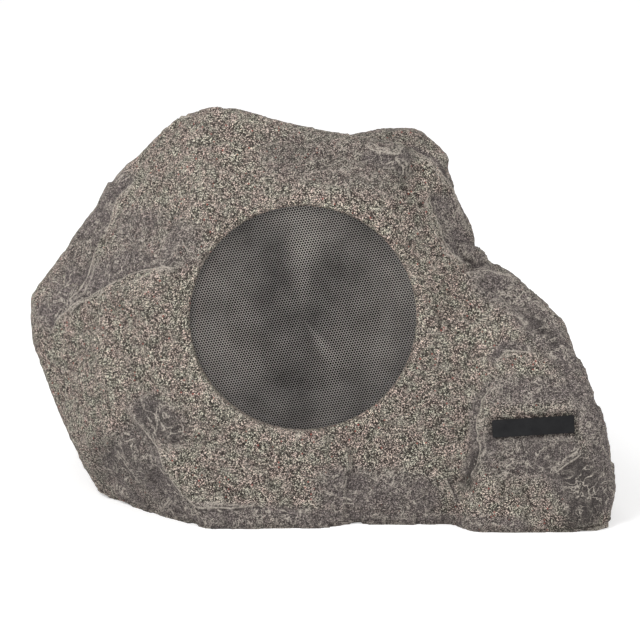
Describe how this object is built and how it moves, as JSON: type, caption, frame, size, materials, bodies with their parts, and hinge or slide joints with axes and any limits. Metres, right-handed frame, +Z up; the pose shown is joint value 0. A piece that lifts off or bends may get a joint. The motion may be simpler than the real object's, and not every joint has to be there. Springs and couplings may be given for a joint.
{
  "type": "rock shaped garden speaker",
  "caption": "Garden loudspeaker hidden in a hollow, hewn stone shell, with a round perforated grille set into its front face and a cable gland at the back.",
  "frame": {"origin": "middle of the footprint's box on the ground", "axes": "+Z up, the grille faces -Y, +X to the right of a person facing the grille"},
  "size_m": [0.421, 0.316, 0.288],
  "materials": {
    "moulded_stone": "moulded glass fibre with a speckled stone coat",
    "black_plate": "satin black, bare",
    "grille_paint": "dark grey brown paint, semi gloss",
    "foam": "closed cell foam",
    "frame_paint": "black paint",
    "zinc_steel": "zinc plated",
    "soft_rubber": "matt",
    "spider_cloth": "resin stiffened cloth",
    "ferrite": "ground ferrite",
    "tag_board": "laminated paper board",
    "tinned_brass": "tinned",
    "black_plastic": "fine grain",
    "core_steel": "stacked sheets",
    "winding_tape": "wrapped in tape",
    "block_plastic": "ivory",
    "lead_sheath": "flat twin lead",
    "cone_paper": "treated paper",
    "former_aluminium": "thin sheet",
    "coil_copper": "enamelled copper"
  },
  "bodies": {
    "enclosure": {"rock_shell": "moulded_stone", "badge_plate": "black_plate", "grille": "grille_paint", "grille_gasket": "foam", "woofer_frame": "frame_paint", "woofer_screws": "zinc_steel", "cone_surround": "soft_rubber", "spider": "spider_cloth", "top_plate": "zinc_steel", "ferrite_magnet": "ferrite", "pole_yoke": "zinc_steel", "terminal_board": "tag_board", "terminal_tags": "tinned_brass", "base_plate": "black_plastic", "base_gasket": "soft_rubber", "base_screws": "zinc_steel", "transformer_core": "core_steel", "transformer_winding": "winding_tape", "transformer_strap": "zinc_steel", "terminal_block": "block_plastic", "twin_lead": "lead_sheath", "gland_body": "black_plastic", "gland_locknut": "black_plastic", "gland_seal": "soft_rubber", "gland_nut": "black_plastic"},
    "cone_assembly": {"woofer_cone": "cone_paper", "dust_cap": "cone_paper", "voice_coil_former": "former_aluminium", "voice_coil": "coil_copper"}
  },
  "joints": [
    {"name": "cone_travel", "type": "slide", "parent": "enclosure", "child": "cone_assembly", "axis": [0, -0.9976, 0.0698], "range_m": [-0.004, 0.004], "stiffness_N_per_m": 1500, "deforming": ["cone_surround", "spider"]}
  ]
}
